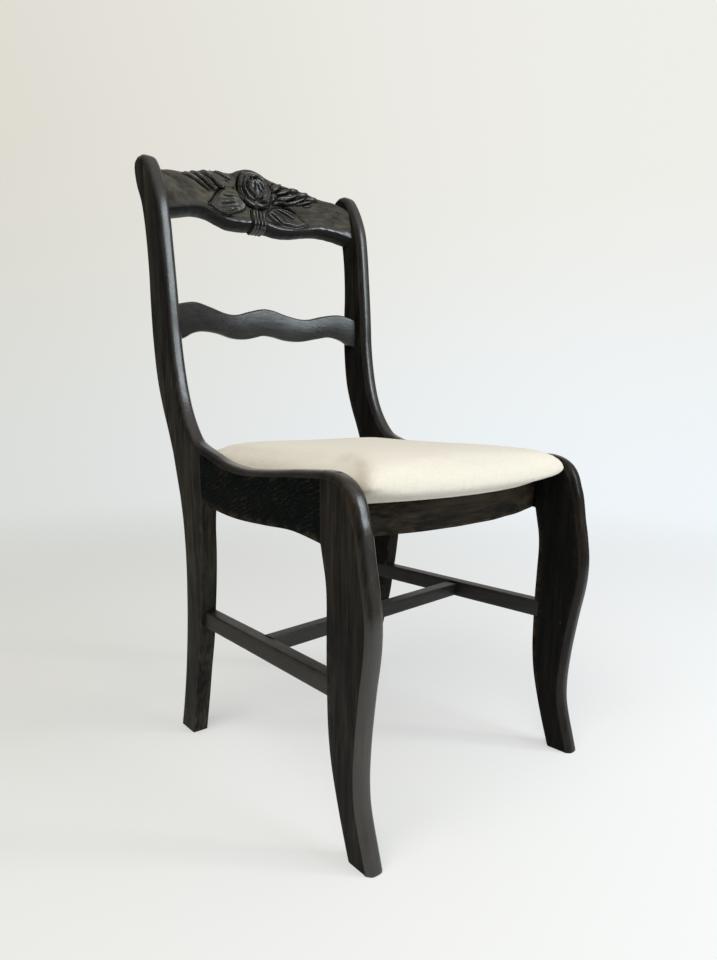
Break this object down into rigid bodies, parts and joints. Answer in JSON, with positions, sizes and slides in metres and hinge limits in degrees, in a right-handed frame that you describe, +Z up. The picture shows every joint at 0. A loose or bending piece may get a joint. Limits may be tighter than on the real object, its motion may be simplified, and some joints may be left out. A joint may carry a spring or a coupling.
{
  "type": "side chair",
  "caption": "Armless wooden side chair with S-curved side frames, a rose-carved crest rail, a wavy back slat, an H-shaped stretcher and an upholstered seat pad.",
  "frame": {"origin": "middle of the chair's footprint box on the floor", "axes": "+Z up, +X towards the right-hand side frame as seen from the front, +Y towards the back; the seat faces -Y"},
  "size_m": [0.4424, 0.5487, 0.868],
  "materials": {
    "ebonised_wood": "black ebonised hardwood, satin, with worn arrises",
    "plain_beech": "unfinished hardwood of blocks and dowels",
    "plywood": "raw plywood seat board",
    "seat_foam": "upholstery foam",
    "cream_linen": "plain-woven cream linen",
    "zinc_steel": "plated screws"
  },
  "bodies": {
    "root": {"back_post_left": "ebonised_wood", "back_post_right": "ebonised_wood", "side_rail_left": "ebonised_wood", "side_rail_right": "ebonised_wood", "front_leg_left": "ebonised_wood", "front_leg_right": "ebonised_wood", "front_rail": "ebonised_wood", "rear_rail": "ebonised_wood", "crest_rail": "ebonised_wood", "back_slat": "ebonised_wood", "side_stretcher_left": "ebonised_wood", "side_stretcher_right": "ebonised_wood", "cross_stretcher": "ebonised_wood", "corner_block_front_left": "plain_beech", "corner_block_front_right": "plain_beech", "corner_block_rear_left": "plain_beech", "corner_block_rear_right": "plain_beech", "seat_board": "plywood", "seat_foam": "seat_foam", "seat_cover": "cream_linen", "crest_dowels": "plain_beech", "post_rail_dowels": "plain_beech", "leg_rail_dowels": "plain_beech", "front_rail_dowels": "plain_beech", "rear_rail_dowels": "plain_beech", "side_stretcher_dowels": "plain_beech", "cross_stretcher_dowels": "plain_beech", "corner_block_screws": "zinc_steel", "seat_screws": "zinc_steel"}
  },
  "joints": []
}
